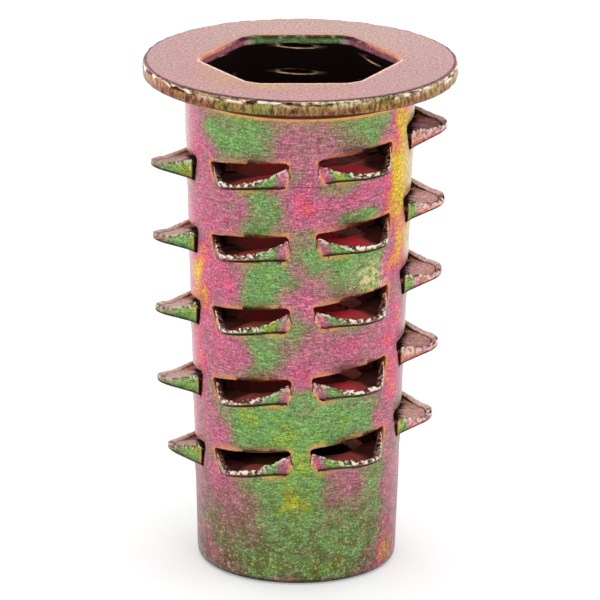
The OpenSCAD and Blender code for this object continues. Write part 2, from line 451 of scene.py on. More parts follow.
def make_body():
    profile = body_profile()
    r, z = profile[:, :1], profile[:, 1:]
    level = (z - SEAT_Z) / FLANGE_T
    angle = np.arange(BODY_POINTS) * 2 * math.pi / BODY_POINTS
    sleeve_arc, rim_arc = angle * SLEEVE_ARC_R, angle * RIM_ARC_R
    rng = np.random.default_rng(SEED + 1)
    dent, near, shaded = wall_dents(angle, z)
    on_sleeve = smooth(z, 0.2, 0.8) * (1 - smooth(z, SEAT_Z - 0.7, SEAT_Z - 0.3))
    radius = r + on_sleeve * (dent + 0.008 * relief(sleeve_arc, z, rng, 8, 6, 1.5))
    # The flange's rim is sheared: uneven, but never past its full size.
    on_rim = smooth(r, FLANGE_R - 0.2, FLANGE_R - 0.02) * (z > SEAT_Z - 0.01)
    rough = relief(rim_arc, z, rng, 14, 1.6, 0.16)
    radius -= on_rim * (0.016 + 0.016 * np.clip(rough, -1, 1))
    # Worn streaks dent the upper lip a little, and their raw-metal colour is a painted highlight.
    worn = smooth(relief(rim_arc, 3 * z, rng, 12, 5, 0.6), -0.1, 0.5)
    on_lip = smooth(level, 0.6, 0.74) * (1 - smooth(level, 0.9, 0.97)) * on_rim
    radius -= 0.03 * on_lip * worn
    at_edge = r > FLANGE_R - 0.2
    height = z - 0.012 * at_edge * (z > 23.9) * (1 + np.clip(rough, -1, 1))
    rings = np.stack([radius * np.cos(angle), radius * np.sin(angle), height], axis=-1)
    at_top = z > OVERALL_H - 0.01
    # Painted shade under the flange, along the rim's top edge and on the rim's lower part.
    under = (r > 5.5) * (level < 0.13) * (level > -0.05)
    brink = (level > 0.93) * at_edge
    low_rim = 0.3 * on_rim * (1 - smooth(level, 0.3, 0.6))
    neck = (r < 5.6) * (z < SEAT_Z)
    # An orange line under the flange is a painted reflection, and above it, under the rim's
    # overhang, lies painted shade.
    on_neck = (0.12 * smooth(z, 22.1, 22.4) + 0.9 * smooth(z, 22.47, 22.53)) * neck
    over_neck = 1.6 * smooth(z, 22.6, 22.65) * neck
    # Painted shade at the bottom edge, and a little more towards the bottom.
    low_end = 1.1 * (1 - smooth(z, 0.06, 0.28)) + 0.15 * (1 - smooth(z, 0.8, 7))
    turn = from_front(angle)
    at_back = smooth(np.abs(turn + 20), 80, 150)
    # The rim has a painted highlight at its upper edge, weaker at the left, and is redder at its
    # lower edge and at the left.
    drift = relief(rim_arc, 0 * z, rng, 8, 9, 1.5)
    at_left = smooth(-turn, 25, 50) * smooth(-turn, 150, 120)
    rim_highlight = on_rim * (1 - at_top) * smooth(level + 0.15 * drift, 0.55, 0.9)
    rim_highlight *= 0.75 - 0.7 * at_left
    red_rim = (1 - smooth(level - 0.25 * drift, 0.2, 0.55)) * smooth(drift, -0.6, 0.4)
    red_rim += 0.7 * at_left
    # The flange's top is pale pink, with a worn tan streak in front of the bore.
    tan_streak = np.exp(-(((turn + 26) / 44) ** 2) - ((r - 5.1) / 0.95) ** 2)
    pale_top = at_top * (1 - brink) * (1 - 0.25 * tan_streak)
    # Painted shade at the sides low down and at the windows' dark ends.
    beside = 0.55 * smooth(np.abs(np.abs(turn) - 90), 12, 3) * (1 - smooth(z, 2.5, 6))
    dark = np.maximum(beside, 1.5 * shaded * on_sleeve)
    for part in (0.9 * under, 0.75 * brink, low_end, over_neck, low_rim):
        dark = np.maximum(dark, part)
    # Where pale, the sleeve is cream towards the right and at the left limb, colouring its painted
    # reflections.
    cream_limb = np.maximum(smooth(turn, 20, 50), 0.5 * smooth(-turn, 60, 78))
    cream_side = np.where(on_rim > 0.5, red_rim, cream_limb)
    marks = {
        "film": np.where(at_top, 0.28 - 0.24 * tan_streak, film_at(rings)),
        "edge": np.maximum(near * on_sleeve, on_neck),
        "raw": 1.2 * on_lip * worn,
        "grime": dark,
        "pale": np.maximum.reduce([pale_top, on_sleeve * limb_reflection_at(rings), rim_highlight]),
        "cream": np.where(at_top, 0.3 * at_back, cream_side),
        "matt": 0.18 * at_top * at_back,
        "rim": on_rim * (1 - at_top) * (1 - under),
    }
    return ring_object("body", rings, (0, 0, 0), (0, 0, OVERALL_H), marks)


# ---- windows
WINDOW_CORNER_R = 0.13
# Rings of a window's wall: height over the sleeve, growth, bent edge with its painted highlight,
# and painted shade within.
WINDOW_RINGS = (
    (-1.6, 0, 0, 1), (-0.7, 0, 0, 1),
    (-0.22, 0, 0.35, 0.55), (-0.12, 0.012, 0.8, 0.15),
    (-0.06, 0.035, 1, 0), (-0.02, 0.07, 1, 0),
    (0.03, 0.13, 1, 0), (0.35, 0.16, 1, 0),
)


def window_outline(rng, column):
    """Closed outline of a window, seen from outside, counterclockwise."""
    jitter = rng.uniform(-0.05, 0.05, (4, 2)) * (1, 0.5)
    top, low, high = WINDOW_TOP_HALF, WINDOW_LOW_HALF, WINDOW_H / 2
    corners = np.array([(top, high), (-top, high), (-low, -high), (low, -high)]) + jitter
    if column in SIDES:
        corners[0 if DARK_ENDS[column] > 0 else 1] += TALL_END[column]

    def reach(way):
        """How far a rounded corner reaches along a side."""
        return way / np.hypot(*way) * WINDOW_CORNER_R * 1.3

    outline = []
    for i in range(4):
        corner, after = corners[i], corners[(i + 1) % 4]
        start = corner + reach(corners[i - 1] - corner)
        end = corner + reach(after - corner)
        goal = after - reach(after - corner)
        for t in np.linspace(0, 1, 4):
            outline.append((1 - t) ** 2 * start + 2 * t * (1 - t) * corner + t**2 * end)
        steps = 13 if i % 2 == 0 else 5
        for t in np.arange(1, steps) / steps:
            outline.append(end + (goal - end) * t)
    outline = np.array(outline)
    outline[:, 1] += wobble(rng, len(outline), 19, 0.022)
    outline[:, 0] += wobble(rng, len(outline), 15, 0.018)
    return outline


def outward(loop):
    """Unit normals of a closed counterclockwise loop."""
    run = np.roll(loop, -1, axis=0) - np.roll(loop, 1, axis=0)
    run /= np.linalg.norm(run, axis=1, keepdims=True)
    return np.stack([run[:, 1], -run[:, 0]], axis=1)


def make_window(k):
    rng = np.random.default_rng(SEED + 100 + k)
    outline = window_outline(rng, k % COLUMNS)
    normal = outward(outline)
    wall = sleeve_r(tooth_z(k))
    # At its dark end the window's wall takes painted shade in place of the orange edge.
    shaded = 1 * (DARK_ENDS[k % COLUMNS] * outline[:, 0] > WINDOW_LOW_HALF - 0.15)
    stack = Stack(len(outline))
    for over, growth, edge, inside in WINDOW_RINGS:
        y, z = (outline + normal * growth).T
        x = np.sqrt((wall + over) ** 2 - np.minimum(np.abs(y), 2.3) ** 2)
        stack.add(x, y, z, film=0.12, edge=edge * (1 - shaded), inside=inside, grime=1.5 * shaded)
    inner, outer = stack.rings[0][:, 0].min() - 0.1, stack.rings[-1][:, 0].max() + 0.1
    return stack.build("window", (inner, 0, 0), (outer, 0, 0), k)


# ---- teeth
def tooth_form(k):
    """How far tooth k stands out, and the height of its nose."""
    rng = np.random.default_rng(SEED + 200 + k)
    row, column = divmod(k, COLUMNS)
    if column in SIDES:
        return SIDE_REACH[column][row], SIDE_NOSE[column][row]
    fade = 0.3 * max(0, 1 - (TEETH - 1 - k) / COLUMNS)
    return REACH - 0.02 - fade - rng.uniform(0, 0.1), -NOSE_DROP + rng.uniform(-0.05, 0.03)


def tooth_plan(foot, nose, count):
    """Closed plan of a tooth, counterclockwise from its back."""
    centre = nose - NOSE_R
    to_foot = math.atan2(FOOT_HALF, foot - centre)
    bend = to_foot - math.acos(NOSE_R / math.hypot(FOOT_HALF, foot - centre))
    front = arc((centre, 0), NOSE_R, -math.degrees(bend), math.degrees(bend), 24)
    corners = [(TOOTH_BACK_X, -FOOT_HALF), (foot, -FOOT_HALF)] + front
    corners = np.array(corners + [(foot, FOOT_HALF), (TOOTH_BACK_X, FOOT_HALF)])
    length = np.append(0, np.cumsum(np.hypot(*np.diff(corners, axis=0).T)))
    root, total = foot - TOOTH_BACK_X, length[-1]
    ends = np.linspace(0, root, 4)
    middle_part = np.linspace(root, total - root, count - 12)
    at = np.concatenate([ends[:-1], middle_part, np.linspace(total - root, total, 4)[1:]])
    x, y = (np.interp(at, length, side) for side in corners.T)
    across = np.linspace(FOOT_HALF, -FOOT_HALF, 8)[1:-1]
    return np.stack([np.append(x, 0 * across + TOOTH_BACK_X), np.append(y, across)], axis=1)


class Tooth(Stack):
    """Tooth k in its own frame, with X outwards and Z up."""

    def __init__(self, k):
        self.k = k
        self.row, self.column = divmod(k, COLUMNS)
        reach, nose_z = tooth_form(k)
        self.wall = sleeve_r(tooth_z(k))
        self.foot = math.sqrt(self.wall**2 - FOOT_HALF**2)
        self.nose = self.wall + reach
        self.nose_low, self.nose_high = nose_z - NOSE_T / 2, nose_z + NOSE_T / 2
        self.floor_z = FLOOR_RISE[self.column] - WINDOW_H / 2
        self.centre_x = self.foot - 0.3
        points = TOOTH_POINTS if self.column <= LEFT else BACK_POINTS
        self.plan = tooth_plan(self.foot, self.nose, points)
        self.normal = outward(self.plan)
        super().__init__(len(self.plan), np.random.default_rng(SEED + 300 + k))
        self.x, self.y = x, y = self.plan.T
        sheet = np.interp(x, [self.foot + 0.1, self.foot + 1], [0.11, 0.29])
        self.sheet = sheet + self.wobble(17, 0.03)
        self.free = smooth(x, self.foot + 0.02, self.foot + 0.12)
        # At the sides, the flank that faces back has a cleaner rim, painted pale and matt as a
        # highlight.
        dark_end = DARK_ENDS[self.column]
        self.clean = smooth(-dark_end * y, -0.2, 0.4) if dark_end else 0 * y
        self.slope = (0.45 - 0.3 * self.clean) * self.sheet * self.free
        flare = np.where(y < 0, *FLARES[self.column])
        self.rim = torn_rim(self, np.where(flare > 0.1, 0.03, FOOT_LIFT))
        self.flare = flare * smooth(x, self.foot - 0.15, self.foot) * (y / FOOT_HALF) ** 2

    def under_at(self, x):
        return np.interp(x, [self.foot - 0.06, self.wall, self.nose], [-0.62, -0.5, self.nose_low])

    def floor_at(self, x):
        return np.interp(x, [self.foot, self.nose - 0.3], [self.floor_z, self.nose_high - 0.12])

    def ring(self, inset, z, spread=0, **values):
        """Adds the plan at height z, drawn in by inset, with a share of the flare."""
        x, y = (self.plan - self.normal * np.reshape(inset, (-1, 1))).T
        self.add(x, y * (1 + self.flare * spread), z, **values)


def torn_rim(tooth, lift):
    """Height of the rim, which climbs over lift and falls to the nose."""
    corner_z = WINDOW_H / 2 - RIM_GAP
    fall = SIDE_RIM_FALL if tooth.column in SIDES else RIM_FALL
    past = tooth.x - tooth.foot
    climb, drop = np.clip(past / lift, 0, 1), np.clip((past - lift) / fall, 0, 1)
    rim = tooth.floor_z + (corner_z - tooth.floor_z) * climb
    rim += (tooth.nose_high - corner_z) * drop
    tearing = tooth.free * np.clip(0.4 + tooth.wobble(9, 1), 0.1, 1.2)
    tearing *= 1 - 0.7 * tooth.clean
    jag = tooth.wobble(60, 0.05) + tooth.wobble(37, 0.05) + tooth.wobble(19, 0.04)
    rim = np.maximum(rim + jag * tearing, tooth.floor_at(tooth.x) + 0.02)
    if tooth.k == NICKED_TOOTH:
        rim -= 0.1 * np.exp(-((tooth.y + 1) ** 2 / 0.1)) * tooth.free
    return rim


def flank_film(tooth):
    """Film of the flanks, and how bare they are."""
    x, foot = tooth.x, tooth.foot
    own = 0.66 if tooth.k == 0 else tooth.rng.choice([0.78, LIME, 0.82, 0.74])
    film = own - 0.28 * smooth(x, foot + 0.6, tooth.nose - 0.3)
    bare = 0 * x
    if tooth.column == RIGHT:
        # Green at the root at most, and worn beyond it.
        bare = smooth(x, foot + 0.35, foot + 0.75) if tooth.row in GREEN_ROOTS else 1 + 0 * x
        film = own + (0.17 - own) * bare
    if MIDDLE_ENDS[tooth.column]:
        root_film = 0.28 + 0.12 * tooth.rng.random()
        film = film + (root_film - film) * (1 - smooth(x, foot + 0.2, foot + 0.6))
    return film, bare


def add_flanks(tooth):
    """From the middle of the underside up to the rim."""
    x, y, foot, free = tooth.x, tooth.y, tooth.foot, tooth.free
    low = tooth.under_at(x)
    film, bare = flank_film(tooth)
    # The front teeth have chewed walls, but for the end nearest the middle.
    end = MIDDLE_ENDS[tooth.column]
    chewed = (1 - smooth(end * y, 0.9, 1.3)) * (end != 0) * free
    # Painted shade in the crease at the root of the flank that faces the front, with an orange line
    # as a painted highlight.
    facing = 1 * (DARK_ENDS[tooth.column] * y > 0.5)
    crease_x = foot + 0.12 * facing
    dark = facing * (1 - smooth(x, crease_x - 0.04, crease_x + 0.01))
    root = {"edge": (1 - smooth(x, crease_x, crease_x + 0.09)) * (1 - dark), "inside": dark}
    half_x = (x + tooth.centre_x) / 2
    # The underside and the foot of each flank carry painted shade.
    tooth.add(half_x, y / 2, tooth.under_at(half_x), film=OLIVE, grime=0.5)
    tooth.ring(0.14, tooth.under_at(x - 0.14), film=film, grime=1)
    tooth.ring(0.05, low + 0.02, film=film, grime=1.5)
    tooth.ring(0, low + 0.07, film=film, grime=1.5, **root)
    tooth.ring(0, low + 0.13, film=film, grime=0.5, **root)
    bulge = tooth.wobble(21, 0.03) * free
    ragged = tooth.wobble(60, 0.018) * free
    for t in (0.4, 0.65, 0.82, 0.93):
        z = low + np.maximum((tooth.rim - low) * t, 0.14 + 0.02 * t)
        worn = bare * smooth(t, 0.2, 0.6)
        torn = np.maximum(0.6 * t**4, 0.9 * chewed * smooth(t, 0.2, 0.6))
        look = {"raw": np.maximum(torn, 0.35 * worn), "pale": 0.8 * worn, "cream": 0.7 * worn}
        push = bulge * math.sin(math.pi * t) + ragged * t**3
        tooth.ring(push, z, t, film=film + 0.1 * (t - 0.5), **look, **root)


def add_rim(tooth):
    """From the outer edge of the torn rim to its inner one."""
    clean, sheet, rim, slope = tooth.clean, tooth.sheet, tooth.rim, tooth.slope
    rough = tooth.wobble(80, 0.02) * tooth.free * (1 - clean)
    torn = (1 - 0.9 * clean) * tooth.free
    hidden = 1 - tooth.free
    look = {"film": PINK, "pale": clean * tooth.free, "inside": hidden, "matt": clean}
    # Painted shade runs along the outer edge of a clean rim and along the inner edge of a torn one.
    tooth.ring(0.012, rim - 0.015, 1, film=PINK, raw=torn, inside=hidden, grime=1.1 * clean)
    for inset, down, up, bare in ((0.16, 0.13, 0.5, 1), (0.4, 0.35, 1, 1), (0.8, 0.75, -0.6, 0.8)):
        tooth.ring(sheet * inset, rim - down * slope + up * rough, 1, raw=bare * torn, **look)
    tooth.ring(sheet, rim - slope - 0.02, 1, raw=0.3 * torn, grime=0.4 * (1 - clean), **look)


def dark_at(tooth, x, y):
    """How much painted shade the hollow has. Those at the sides have it only at their roots."""
    if tooth.column not in SIDES:
        return 1
    dark_to = tooth.foot + (0.34 + 0.2 * y if tooth.column == RIGHT else 0.2)
    return 1 - smooth(x, dark_to, dark_to + 0.14)


def lining(tooth):
    """Marks of the hollow: film, paleness and matt as painted light, painted shade, and a painted
    red glow.
    """
    at_root = 1 - smooth(tooth.x, tooth.foot + 0.8, tooth.foot + 1.15)
    floors = {RIGHT: RIGHT_FLOORS[tooth.row], LEFT: LEFT_FLOOR}
    film, pale, grime = floors.get(tooth.column, DARK_FLOOR)
    look = {"film": film - 0.14 * at_root, "pale": pale, "grime": grime}
    if tooth.column in SIDES:
        return look | {"pale": pale - 0.35 * at_root, "matt": 1}
    if not MIDDLE_ENDS[tooth.column]:
        return look | {"wine": 0.2}
    # The end of a front hollow nearest the middle has a painted red glow.
    glow = FRONT_GLOW[tooth.column][tooth.row] - 0.14
    return look | {"wine": 0.14 + glow * smooth(MIDDLE_ENDS[tooth.column] * tooth.y, -0.7, 0.5)}


def add_hollow(tooth):
    """From a crease under the rim to the middle of the floor."""
    x, y, centre_x, clean = tooth.x, tooth.y, tooth.centre_x, tooth.clean
    look = lining(tooth)
    # Painted shade lies in the crease under the rim, strongest at the right, and in the hollow as
    # dark_at gives.
    grime = {RIGHT: 1.5, LEFT: 1.2 * (1 - clean)}.get(tooth.column, 0.9)
    crease = dict(film=look["film"], grime=grime, matt=0.5 + 0.5 * clean, inside=1 - tooth.free)
    dark = dark_at(tooth, x, y)
    low = np.minimum(tooth.floor_at(x - 0.35), tooth.rim - tooth.slope - 0.06)
    lip = tooth.rim - tooth.slope - 0.03
    groove = tooth.sheet + 0.035
    tooth.ring(groove, np.maximum(lip - 0.04, low + 0.014), 1, **crease)
    tooth.ring(groove, np.maximum(lip - 0.04 - 0.07 * clean, low + 0.012), 1, **crease)
    tooth.ring(groove + 0.01, np.maximum(lip - 0.14, low + 0.009), 1, inside=dark, **look)
    tooth.ring(groove, low + np.maximum((lip - low) * 0.3, 0.004), 1, inside=dark, **look)
    tooth.ring(tooth.sheet + 0.12, low, 0.6, inside=dark, **look)
    for part in (0.85, 0.68, 0.5, 0.3) if tooth.column in SIDES else (0.5,):
        floor_x = centre_x + (x - tooth.sheet - 0.2 - centre_x) * part
        floor_y = y * 0.84 * part
        z = tooth.floor_at(centre_x + (x - centre_x) * part)
        tooth.add(floor_x, floor_y, z, inside=dark_at(tooth, floor_x, floor_y), **look)


def make_tooth(k):
    tooth = Tooth(k)
    add_flanks(tooth)
    add_rim(tooth)
    add_hollow(tooth)
    ends = [(tooth.centre_x, 0, at(tooth.centre_x)) for at in (tooth.under_at, tooth.floor_at)]
    return tooth.build("tooth", *ends, k)


# ---- bore
# Turns of the machine thread up to its groove near the mouth.
GROOVE_TURNS = 17.5
# Film of the six flats. The first faces the angle 30 degrees.
FLAT_FILMS = (0.34, GREEN, PINK, 0.2, 0.12, MAUVE)


class Bore(Stack):
    """Drive bore with its machine thread, as a closed surface to cut with."""

    def __init__(self):
        half = np.array([0.4, 4.76, 10, 15.5, 18, 20, 22, 24, 27])
        sector = np.concatenate([half, [30], 60 - half[::-1]])
        self.angle = np.radians(np.concatenate([60 * i + sector for i in range(6)]))
        super().__init__(len(self.angle), np.random.default_rng(SEED + 2))
        degrees = np.degrees(self.angle)
        from_flat = np.abs((degrees % 60) - 30)
        self.hex = np.minimum(HEX_FLAT_R / np.cos(np.radians(from_flat)), HEX_CORNER_R)
        self.film = np.take(FLAT_FILMS, (degrees // 60).astype(int))
        self.from_back = np.abs((np.degrees(self.angle - FRONT) % 360) - 180)
        self.behind = 1 - smooth(self.from_back, 88, 94)
        self.corner = self.behind * (from_flat > 29)

    def cut(self, radius, z, **values):
        self.add(radius * np.cos(self.angle), radius * np.sin(self.angle), z, **values)

    def thread(self, z):
        """Radius of the machine thread at height z."""
        phase = (z / THREAD_PITCH - self.angle / (2 * math.pi) - THREAD_START) % 1
        ridge = np.clip(2.5 * np.abs(phase - 0.5) - 0.12, 0, 1)
        return THREAD_MAJOR_R - (THREAD_MAJOR_R - THREAD_CORE_R) * ridge


def cut_end(bore):
    """The threaded end, up to the shoulder where the flats begin."""
    for z in np.arange(-0.4, END_WALL - 0.01, THREAD_PITCH / 8):
        flare = np.clip(0.3 - z, 0, 0.7) + np.clip(z - END_WALL + 0.3, 0, 0.3)
        cone = THREAD_CORE_R + flare * (2 if z > 0.5 else 1)
        radius = np.minimum(np.maximum(bore.thread(z), cone), HEX_FLAT_R + 0.1)
        bore.cut(radius, z, film=0.1, edge=0.2, inside=0.8)
    bore.cut(bore.hex, END_WALL, film=0.2, inside=1)


def cut_flats(bore):
    """The flats, which the tap has scratched near the mouth."""
    # The rings are close where the tap has cut the flats at the back.
    turns = GROOVE_TURNS + THREAD_START + (math.degrees(FRONT) + 180) / 360
    high = [
        np.arange(TAPPED_FROM, 23.6, THREAD_PITCH / 9),
        THREAD_PITCH * turns + np.linspace(-0.2, 0.2, 17),
        THREAD_PITCH * turns + THREAD_PITCH + np.linspace(-0.4, 0.1, 21),
    ]
    middle = np.arange(END_WALL, TAPPED_FROM, 0.9)[1:]
    ragged = np.clip(0.8 + bore.wobble(40, 0.9), 0, 1)
    red = 0.65 * (1 - smooth(bore.from_back, 12, 55))
    for z in np.concatenate([middle, np.unique(np.concatenate(high).round(3))]):
        tapped = bore.thread(z) * (z > TAPPED_FROM)
        over = tapped - bore.hex
        # The edges of the tap's cuts carry painted highlights; below the mouth and in the tap's
        # deeper cuts the flats are painted dark as shade, and lower down they have a painted red
        # glow, strongest at the back.
        scratch = smooth(over, -0.004, 0.01) * (1 - smooth(over, 0.05, 0.08)) * ragged
        below = OVERALL_H - z + bore.wobble(60, 0.05) + 0.2 * bore.behind
        depth = np.maximum(smooth(below, 0.5, 0.58), smooth(over, 0.04, 0.08))
        bore.cut(
            np.maximum(bore.hex, tapped), z, film=bore.film, edge=scratch,
            raw=0.3 * scratch, inside=depth * (1 - scratch), matt=0.8,
            wine=(0.25 + red * smooth(z, 1, 11)) * (z < 20.2),
            pale=np.maximum(0.7 * scratch, 0.8 * bore.corner),
        )


def cut_mouth(bore):
    """The upper end of the flats and the bevel round the mouth."""
    burr = bore.wobble(50, 0.02)
    far = 1 - smooth(bore.from_back, 35, 65)
    plain = 1 - bore.behind

    def edge(rise, grow, **look):
        bore.cut(bore.hex + grow + burr * (0.3 - rise), OVERALL_H - rise, **look)

    flat_look = {"film": bore.film, "matt": 0.8, "pale": 0.8 * bore.corner}
    edge(0.34, 0, **flat_look)
    edge(0.24, 0.005, **flat_look)
    edge(0.17, 0.015, grime=0.45, **flat_look)
    # The edge of the mouth has painted shade at the back and a golden painted highlight elsewhere.
    look = {"film": np.where(far > 0.5, bore.film, 0.2), "edge": 0.75 * (1 - far), "raw": 0.1}
    for rise, grow in ((0.12, 0.035), (0.08, 0.06), (0.045, 0.095)):
        edge(rise, grow, grime=0.5 + 0.5 * far, **look)
    bevel = bore.hex + MOUTH_BEVEL + burr * 0.5
    look = {"film": 0.15, "edge": 0.9, "raw": 0.2, "grime": 0.2 + 0.8 * far}
    bore.cut(bevel - 0.03, OVERALL_H - 0.02, **look)
    # A hairline of worn metal, with a painted highlight, runs round the mouth.
    bore.cut(bevel, OVERALL_H - 0.008, film=0.2, pale=0.9, edge=0.3 * bore.behind, matt=plain)
    bore.cut(bevel + 0.1, OVERALL_H - 0.005, film=0.1, pale=1, edge=0.2, matt=plain)
    bore.cut(bevel + 0.16, OVERALL_H - 0.004, film=0.1, pale=0.9, edge=0.4)
    bore.cut(bevel + 0.165, OVERALL_H + 0.01, film=0.1, pale=0.9)
    bore.cut(bevel + 0.2, OVERALL_H + 0.3, film=0.15, pale=1)


def make_bore():
    bore = Bore()
    cut_end(bore)
    cut_flats(bore)
    cut_mouth(bore)
    return bore.build("bore", (0, 0, -0.5), (0, 0, OVERALL_H + 0.4))


def fill_marks(mesh):
    """Points that the cuts made take their values from their neighbours."""
    count = len(mesh.vertices)
    edges = np.zeros(len(mesh.edges) * 2, int)
    mesh.edges.foreach_get("vertices", edges)
    pairs = edges.reshape(-1, 2)
    a, b = np.concatenate([pairs, pairs[:, ::-1]]).T
    values = {key: np.zeros(count) for key in MARKS + ("made",)}
    for key, v in values.items():
        mesh.attributes[key].data.foreach_get("value", v)
    known = values.pop("made") > 0.5
    for _ in range(6):
        number = np.bincount(a, known[b], count)
        new = ~known & (number > 0)
        for v in values.values():
            total = np.bincount(a, v[b] * known[b], count)
            v[new] = total[new] / number[new]
        known = known | new
    for key, v in values.items():
        mesh.attributes[key].data.foreach_set("value", v)
    mesh.attributes.remove(mesh.attributes["made"])


def make_insert():
    body = make_body()
    combine(body, join([make_window(k) for k in range(TEETH)], "windows"), "DIFFERENCE")
    combine(body, join([make_tooth(k) for k in range(TEETH)], "teeth"), "UNION")
    combine(body, make_bore(), "DIFFERENCE")
    body.name = "insert_sleeve_finish"
    fill_marks(body.data)
    body.data.shade_smooth()
    body.data.set_sharp_from_angle(angle=math.radians(38))
    return body


# ---- material
def linear(colour):
    """Scene-linear colour from a display colour."""
    return tuple(((c + 0.055) / 1.055) ** 2.4 if c > 0.04 else c / 12.92 for c in colour) + (1,)


# Display colours of the film, from 0 to 1, and of what lies over it.
FILM_COLOURS = (
    (0.00, (0.88, 0.74, 0.14)), (0.1, (0.86, 0.57, 0.28)),
    (0.2, (0.87, 0.37, 0.48)), (0.3, (0.77, 0.43, 0.54)),
    (0.42, (0.69, 0.47, 0.49)), (0.55, (0.57, 0.54, 0.4)),
    (0.7, (0.48, 0.64, 0.39)), (0.8, (0.5, 0.65, 0.34)),
    (0.9, (0.63, 0.66, 0.22)), (1.00, (0.84, 0.7, 0.2)),
)
# Pale matt places take the third colour here, a lighter pink that is painted light.
PALE_PINK, CREAM, LIT_PINK = (0.91, 0.74, 0.71), (0.72, 0.7, 0.62), (1, 0.86, 0.8)
WORN_GREY, STAIN, PALE_DOTS = (0.74, 0.69, 0.65), (0.37, 0.28, 0.17), (0.86, 0.8, 0.62)
RIM_OLIVE, RIM_TAN = (0.56, 0.54, 0.28), (0.71, 0.54, 0.33)
# The last colour of the rim is a painted highlight.
RIM_RED, RIM_HIGHLIGHT = (0.66, 0.42, 0.3), (0.94, 0.89, 0.74)
FAILED_TAN, FAILED_PALE = (0.92, 0.66, 0.46), (0.8, 0.84, 0.72)
# Bent edges are orange with a painted highlight; the dark brown after them is painted shade.
SCRATCH, EDGE_HIGHLIGHT, SHADE_DARK = (0.25, 0.15, 0.12), (0.93, 0.62, 0.37), (0.12, 0.07, 0.05)
TORN_DARK, TORN_BROWN, TORN_WHITE = (0.17, 0.09, 0.06), (0.7, 0.52, 0.42), (1, 0.98, 0.93)
# The deep colours are the painted shade of hollows and bore, and their painted red glow.
DEEP_DARK, DEEP_BROWN, DEEP_RED = (0.09, 0.05, 0.045), (0.6, 0.28, 0.24), (0.84, 0.2, 0.27)

# Middle of the failed patch and of the scratch.
FAILED_PATCH = (3.1, -4.1, 14.5)
SCRATCH_X, SCRATCH_Z = 0.25, 19.4


def feed(node, inputs):
    """Sets a node's inputs to values, or links them to other nodes' outputs."""
    for key, value in inputs.items():
        if isinstance(value, bpy.types.NodeSocket):
            node.id_data.links.new(value, node.inputs[key])
        else:
            node.inputs[key].default_value = value


class Nodes:
    """Short way to write a node tree."""

    def __init__(self, tree):
        self.tree = tree

    def add(self, kind, inputs=(), **settings):
        node = self.tree.nodes.new("ShaderNode" + kind)
        for key, value in settings.items():
            setattr(node, key, value)
        feed(node, dict(inputs))
        return node

    def math(self, operation, a, b, clamp=False):
        node = self.add("Math", {0: a, 1: b}, operation=operation, use_clamp=clamp)
        return node.outputs[0]

    plus = partialmethod(math, "ADD")
    minus = partialmethod(math, "SUBTRACT")
    times = partialmethod(math, "MULTIPLY")

    def stretch(self, vector, factors):
        node = self.add("VectorMath", {0: vector, 1: factors}, operation="MULTIPLY")
        return node.outputs[0]

    def blend(self, share, a, b, blend_type="MIX"):
        """From a to b. Either may be a display colour."""
        a, b = (linear(c) if isinstance(c, tuple) else c for c in (a, b))
        inputs = {0: share, 6: a, 7: b}
        return self.add("Mix", inputs, data_type="RGBA", blend_type=blend_type).outputs[2]

    def darken(self, colour, tone):
        grey = self.add("CombineColor", {0: tone, 1: tone, 2: tone}).outputs[0]
        return self.blend(1, colour, grey, "MULTIPLY")

    def spread(self, value, low, high, to_low=0, to_high=1):
        inputs = dict(enumerate((value, low, high, to_low, to_high)))
        node = self.add("MapRange", inputs, interpolation_type="SMOOTHSTEP")
        return node.outputs["Result"]

    def noise(self, place, scale, detail, roughness):
        inputs = {"Vector": place, "Scale": scale, "Detail": detail, "Roughness": roughness}
        return self.add("TexNoise", inputs).outputs["Fac"]


class Plating(Nodes):
    """Nodes of the plated steel: its marks and grains."""

    def __init__(self, tree):
        super().__init__(tree)
        place = self.add("TexCoord").outputs["Object"]
        self.mm = self.stretch(place, (1000, 1000, 1000))
        self.lying = self.stretch(self.mm, (0.28, 0.28, 1.7))
        self.x, self.y, self.z = self.add("SeparateXYZ", {0: self.mm}).outputs
        self.cloud = self.noise(self.mm, 0.9, 3, 0.6)
        self.mottle = self.noise(self.mm, 4, 3, 0.65)
        self.grain = self.noise(self.lying, 7, 3, 0.7)
        self.speck = self.noise(self.mm, 11, 2, 0.6)
        for key in MARKS:
            outputs = self.add("Attribute", attribute_name=key).outputs
            setattr(self, key, outputs["Fac"])


# Each layer takes the colour below it and gives its own.
def film_layer(n):
    """Film of the plating, broken up a little by the grain."""
    film = n.film
    for grain, size in ((n.cloud, 0.08), (n.mottle, 0.025), (n.grain, 0.012)):
        film = n.plus(film, n.spread(grain, 0.3, 0.7, -size, size))
    ramp = n.add("ValToRGB", {"Fac": film})
    stops = ramp.color_ramp.elements
    for place_on_ramp, _ in FILM_COLOURS[1:-1]:
        stops.new(place_on_ramp)
    for stop, (_, shown) in zip(stops, FILM_COLOURS):
        stop.color = linear(shown)
    return ramp.outputs["Color"]


def pale_layer(n, colour):
    """Pale places: thin or worn film, and painted highlights and reflections; matt ones take a
    lighter pink as painted light.
    """
    worn = n.blend(n.cream, PALE_PINK, CREAM)
    worn = n.blend(n.matt, worn, LIT_PINK)
    spots = n.spread(n.noise(n.mm, 8, 3, 0.8), 0.45, 0.62, 0, 0.6)
    spots = n.times(spots, n.minus(1, n.times(n.matt, 0.7)))
    worn = n.blend(spots, worn, WORN_GREY)
    share = n.plus(n.times(n.matt, 0.2), 0.75)
    return n.blend(n.times(n.pale, share, True), colour, worn)


